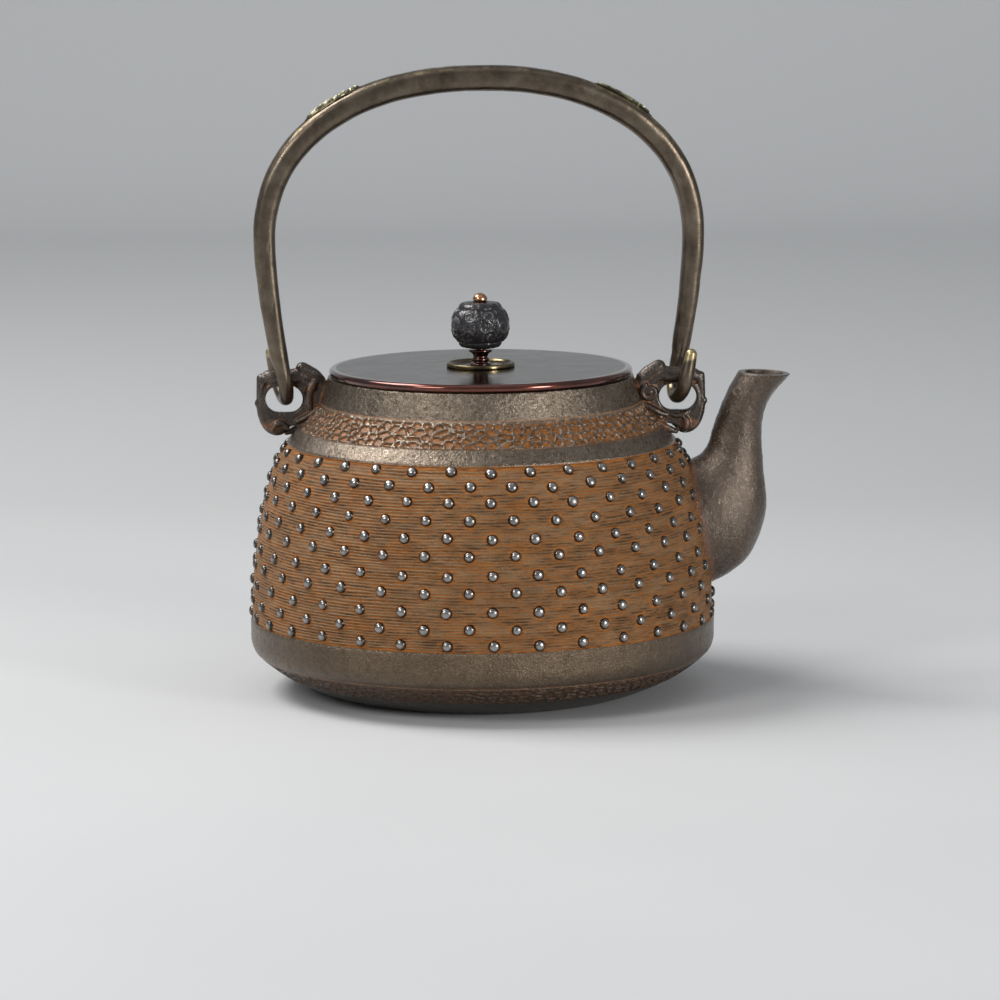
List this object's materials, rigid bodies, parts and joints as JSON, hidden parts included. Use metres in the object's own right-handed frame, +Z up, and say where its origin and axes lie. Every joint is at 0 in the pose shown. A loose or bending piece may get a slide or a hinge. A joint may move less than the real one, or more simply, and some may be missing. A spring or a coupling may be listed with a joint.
{
  "type": "cast iron tea kettle",
  "caption": "Round hollow cast iron tea kettle with a studded wall, a curved spout, a swing handle hooked through two lugs, and a loose copper lid with a turning knob bead.",
  "frame": {"origin": "centre of the flat base, on the plane that the kettle stands on", "axes": "+Z up along the axis of the body, +X towards the spout, +Y to the side; the handle swings about a line along X"},
  "size_m": [0.1935, 0.1658, 0.2236],
  "materials": {
    "body_iron": "sand-cast iron with rust-brown lacquer, satin studs",
    "spout_iron": "fine granular cast skin, satin",
    "lug_iron": "dark cast skin with rust in the recesses",
    "lid_copper": "patinated copper, polished grey-brown top and red-brown rim",
    "ring_copper": "plain copper, dull",
    "dish_brass": "aged brass with a worn bright edge",
    "stem_copper": "turned, patinated copper, glossy",
    "bead_black": "carved, waxed black with grey high spots",
    "pin_copper": "bright copper",
    "handle_bronze": "dark bronze-brown patina, satin, worn to brass",
    "overlay_gilt": "tarnished gilt relief",
    "inlay_silver": "worn silver"
  },
  "bodies": {
    "kettle": {"kettle_body": "body_iron", "spout": "spout_iron", "lug_left": "lug_iron", "lug_right": "lug_iron"},
    "lid": {"lid_plate": "lid_copper", "lid_ring": "ring_copper", "knob_dish": "dish_brass", "knob_stem": "stem_copper", "knob_pin": "pin_copper", "knob_washer": "pin_copper"},
    "knob": {"knob_bead": "bead_black"},
    "handle": {"handle_bail": "handle_bronze", "overlay_left": "overlay_gilt", "overlay_right": "overlay_gilt", "handle_inlay": "inlay_silver"}
  },
  "joints": [
    {"name": "handle_swing", "type": "hinge", "parent": "kettle", "child": "handle", "pos_m": [0, 0, 0.1126], "axis": [1, 0, 0], "range_deg": [-85, 85]},
    {"name": "lid_lift", "type": "slide", "parent": "kettle", "child": "lid", "axis": [0, 0, 1], "range_m": [0, 0.06]},
    {"name": "knob_spin", "type": "hinge", "parent": "lid", "child": "knob", "pos_m": [0, 0, 0.131], "axis": [0, 0, 1], "continuous": true}
  ]
}
